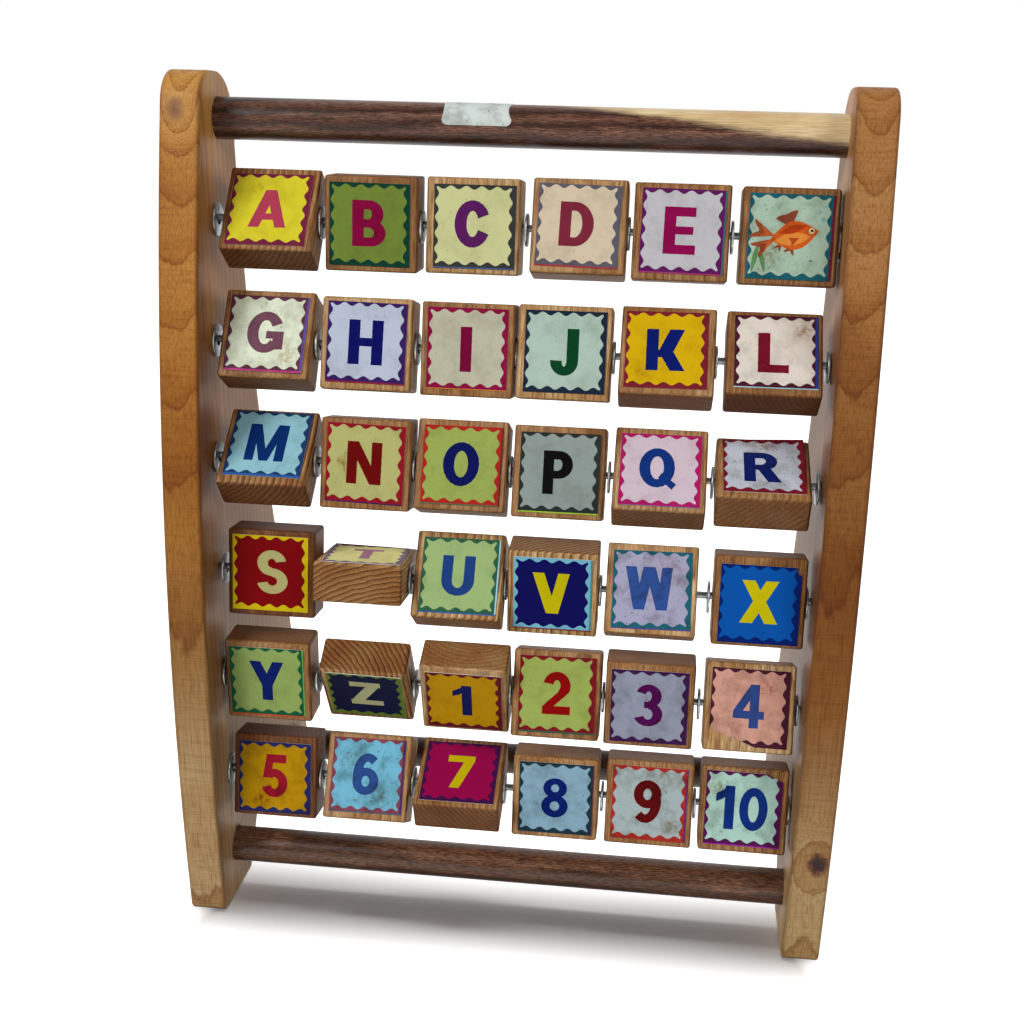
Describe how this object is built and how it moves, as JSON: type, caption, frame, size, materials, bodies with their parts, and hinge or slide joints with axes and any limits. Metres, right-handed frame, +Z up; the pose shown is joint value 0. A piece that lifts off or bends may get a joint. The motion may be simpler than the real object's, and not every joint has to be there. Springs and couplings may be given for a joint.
{
  "type": "spinning alphabet block toy",
  "caption": "Free-standing wooden frame with rows of letter and number blocks that spin on steel rods between bowed side boards.",
  "frame": {"origin": "on the table, under the middle of the toy's width and depth", "axes": "+Z up, the blocks' faces look to -Y, +X runs along the rods towards the right-hand board as seen from the front"},
  "size_m": [0.287, 0.178, 0.3734],
  "materials": {
    "board_wood": "clear satin lacquer on honey-coloured pine",
    "dark_rail_wood": "dark stained, satin",
    "back_rail_wood": "stained, satin",
    "block_wood": "oiled open grain, worn",
    "rod_steel": "drawn wire, dull",
    "zinc_steel": "zinc plated",
    "label_paper": "printed and varnished, scuffed"
  },
  "bodies": {
    "frame": {"left_side_board": "board_wood", "right_side_board": "board_wood", "top_rail": "dark_rail_wood", "front_bottom_rail": "dark_rail_wood", "rear_bottom_rail": "back_rail_wood", "rail_screws": "zinc_steel", "rail_label": "label_paper", "rod_1": "rod_steel", "rod_2": "rod_steel", "rod_3": "rod_steel", "rod_4": "rod_steel", "rod_5": "rod_steel", "rod_6": "rod_steel", "washers_row_1": "zinc_steel", "washers_row_2": "zinc_steel", "washers_row_3": "zinc_steel", "washers_row_4": "zinc_steel", "washers_row_5": "zinc_steel", "washers_row_6": "zinc_steel"},
    "block_a": {"block_a": "block_wood"},
    "block_b": {"block_b": "block_wood"},
    "block_c": {"block_c": "block_wood"},
    "block_d": {"block_d": "block_wood"},
    "block_e": {"block_e": "block_wood"},
    "block_f": {"block_f": "block_wood"},
    "block_g": {"block_g": "block_wood"},
    "block_h": {"block_h": "block_wood"},
    "block_i": {"block_i": "block_wood"},
    "block_j": {"block_j": "block_wood"},
    "block_k": {"block_k": "block_wood"},
    "block_l": {"block_l": "block_wood"},
    "block_m": {"block_m": "block_wood"},
    "block_n": {"block_n": "block_wood"},
    "block_o": {"block_o": "block_wood"},
    "block_p": {"block_p": "block_wood"},
    "block_q": {"block_q": "block_wood"},
    "block_r": {"block_r": "block_wood"},
    "block_s": {"block_s": "block_wood"},
    "block_t": {"block_t": "block_wood"},
    "block_u": {"block_u": "block_wood"},
    "block_v": {"block_v": "block_wood"},
    "block_w": {"block_w": "block_wood"},
    "block_x": {"block_x": "block_wood"},
    "block_y": {"block_y": "block_wood"},
    "block_z": {"block_z": "block_wood"},
    "block_1": {"block_1": "block_wood"},
    "block_2": {"block_2": "block_wood"},
    "block_3": {"block_3": "block_wood"},
    "block_4": {"block_4": "block_wood"},
    "block_5": {"block_5": "block_wood"},
    "block_6": {"block_6": "block_wood"},
    "block_7": {"block_7": "block_wood"},
    "block_8": {"block_8": "block_wood"},
    "block_9": {"block_9": "block_wood"},
    "block_10": {"block_10": "block_wood"}
  },
  "joints": [
    {"name": "block_a_spin", "type": "hinge", "parent": "frame", "child": "block_a", "pos_m": [-0.10213, -0.05686, 0.31526], "axis": [1, 0, 0], "continuous": true},
    {"name": "block_b_spin", "type": "hinge", "parent": "frame", "child": "block_b", "pos_m": [-0.06018, -0.05686, 0.31526], "axis": [1, 0, 0], "continuous": true},
    {"name": "block_c_spin", "type": "hinge", "parent": "frame", "child": "block_c", "pos_m": [-0.01862, -0.05686, 0.31526], "axis": [1, 0, 0], "continuous": true},
    {"name": "block_d_spin", "type": "hinge", "parent": "frame", "child": "block_d", "pos_m": [0.02382, -0.05686, 0.31526], "axis": [1, 0, 0], "continuous": true},
    {"name": "block_e_spin", "type": "hinge", "parent": "frame", "child": "block_e", "pos_m": [0.0643, -0.05686, 0.31526], "axis": [1, 0, 0], "continuous": true},
    {"name": "block_f_spin", "type": "hinge", "parent": "frame", "child": "block_f", "pos_m": [0.10655, -0.05686, 0.31526], "axis": [1, 0, 0], "continuous": true},
    {"name": "block_g_spin", "type": "hinge", "parent": "frame", "child": "block_g", "pos_m": [-0.10305, -0.06193, 0.26564], "axis": [1, 0, 0], "continuous": true},
    {"name": "block_h_spin", "type": "hinge", "parent": "frame", "child": "block_h", "pos_m": [-0.06105, -0.06193, 0.26564], "axis": [1, 0, 0], "continuous": true},
    {"name": "block_i_spin", "type": "hinge", "parent": "frame", "child": "block_i", "pos_m": [-0.01935, -0.06193, 0.26564], "axis": [1, 0, 0], "continuous": true},
    {"name": "block_j_spin", "type": "hinge", "parent": "frame", "child": "block_j", "pos_m": [0.02015, -0.06193, 0.26564], "axis": [1, 0, 0], "continuous": true},
    {"name": "block_k_spin", "type": "hinge", "parent": "frame", "child": "block_k", "pos_m": [0.06165, -0.06193, 0.26564], "axis": [1, 0, 0], "continuous": true},
    {"name": "block_l_spin", "type": "hinge", "parent": "frame", "child": "block_l", "pos_m": [0.10395, -0.06193, 0.26564], "axis": [1, 0, 0], "continuous": true},
    {"name": "block_m_spin", "type": "hinge", "parent": "frame", "child": "block_m", "pos_m": [-0.10325, -0.06457, 0.21602], "axis": [1, 0, 0], "continuous": true},
    {"name": "block_n_spin", "type": "hinge", "parent": "frame", "child": "block_n", "pos_m": [-0.06105, -0.06457, 0.21602], "axis": [1, 0, 0], "continuous": true},
    {"name": "block_o_spin", "type": "hinge", "parent": "frame", "child": "block_o", "pos_m": [-0.02075, -0.06457, 0.21602], "axis": [1, 0, 0], "continuous": true},
    {"name": "block_p_spin", "type": "hinge", "parent": "frame", "child": "block_p", "pos_m": [0.01995, -0.06457, 0.21602], "axis": [1, 0, 0], "continuous": true},
    {"name": "block_q_spin", "type": "hinge", "parent": "frame", "child": "block_q", "pos_m": [0.06135, -0.06457, 0.21602], "axis": [1, 0, 0], "continuous": true},
    {"name": "block_r_spin", "type": "hinge", "parent": "frame", "child": "block_r", "pos_m": [0.10305, -0.06457, 0.21602], "axis": [1, 0, 0], "continuous": true},
    {"name": "block_s_spin", "type": "hinge", "parent": "frame", "child": "block_s", "pos_m": [-0.10192, -0.06479, 0.1664], "axis": [1, 0, 0], "continuous": true},
    {"name": "block_t_spin", "type": "hinge", "parent": "frame", "child": "block_t", "pos_m": [-0.06242, -0.06479, 0.1664], "axis": [1, 0, 0], "continuous": true},
    {"name": "block_u_spin", "type": "hinge", "parent": "frame", "child": "block_u", "pos_m": [-0.02111, -0.06479, 0.1664], "axis": [1, 0, 0], "continuous": true},
    {"name": "block_v_spin", "type": "hinge", "parent": "frame", "child": "block_v", "pos_m": [0.0191, -0.06479, 0.1664], "axis": [1, 0, 0], "continuous": true},
    {"name": "block_w_spin", "type": "hinge", "parent": "frame", "child": "block_w", "pos_m": [0.06051, -0.06479, 0.1664], "axis": [1, 0, 0], "continuous": true},
    {"name": "block_x_spin", "type": "hinge", "parent": "frame", "child": "block_x", "pos_m": [0.10524, -0.06479, 0.1664], "axis": [1, 0, 0], "continuous": true},
    {"name": "block_y_spin", "type": "hinge", "parent": "frame", "child": "block_y", "pos_m": [-0.10495, -0.06259, 0.11678], "axis": [1, 0, 0], "continuous": true},
    {"name": "block_z_spin", "type": "hinge", "parent": "frame", "child": "block_z", "pos_m": [-0.06115, -0.06259, 0.11678], "axis": [1, 0, 0], "continuous": true},
    {"name": "block_1_spin", "type": "hinge", "parent": "frame", "child": "block_1", "pos_m": [-0.01785, -0.06259, 0.11678], "axis": [1, 0, 0], "continuous": true},
    {"name": "block_2_spin", "type": "hinge", "parent": "frame", "child": "block_2", "pos_m": [0.02225, -0.06259, 0.11678], "axis": [1, 0, 0], "continuous": true},
    {"name": "block_3_spin", "type": "hinge", "parent": "frame", "child": "block_3", "pos_m": [0.06235, -0.06259, 0.11678], "axis": [1, 0, 0], "continuous": true},
    {"name": "block_4_spin", "type": "hinge", "parent": "frame", "child": "block_4", "pos_m": [0.10475, -0.06259, 0.11678], "axis": [1, 0, 0], "continuous": true},
    {"name": "block_5_spin", "type": "hinge", "parent": "frame", "child": "block_5", "pos_m": [-0.10395, -0.05797, 0.06716], "axis": [1, 0, 0], "continuous": true},
    {"name": "block_6_spin", "type": "hinge", "parent": "frame", "child": "block_6", "pos_m": [-0.06165, -0.05797, 0.06716], "axis": [1, 0, 0], "continuous": true},
    {"name": "block_7_spin", "type": "hinge", "parent": "frame", "child": "block_7", "pos_m": [-0.01995, -0.05797, 0.06716], "axis": [1, 0, 0], "continuous": true},
    {"name": "block_8_spin", "type": "hinge", "parent": "frame", "child": "block_8", "pos_m": [0.02315, -0.05797, 0.06716], "axis": [1, 0, 0], "continuous": true},
    {"name": "block_9_spin", "type": "hinge", "parent": "frame", "child": "block_9", "pos_m": [0.06465, -0.05797, 0.06716], "axis": [1, 0, 0], "continuous": true},
    {"name": "block_10_spin", "type": "hinge", "parent": "frame", "child": "block_10", "pos_m": [0.10595, -0.05797, 0.06716], "axis": [1, 0, 0], "continuous": true}
  ]
}
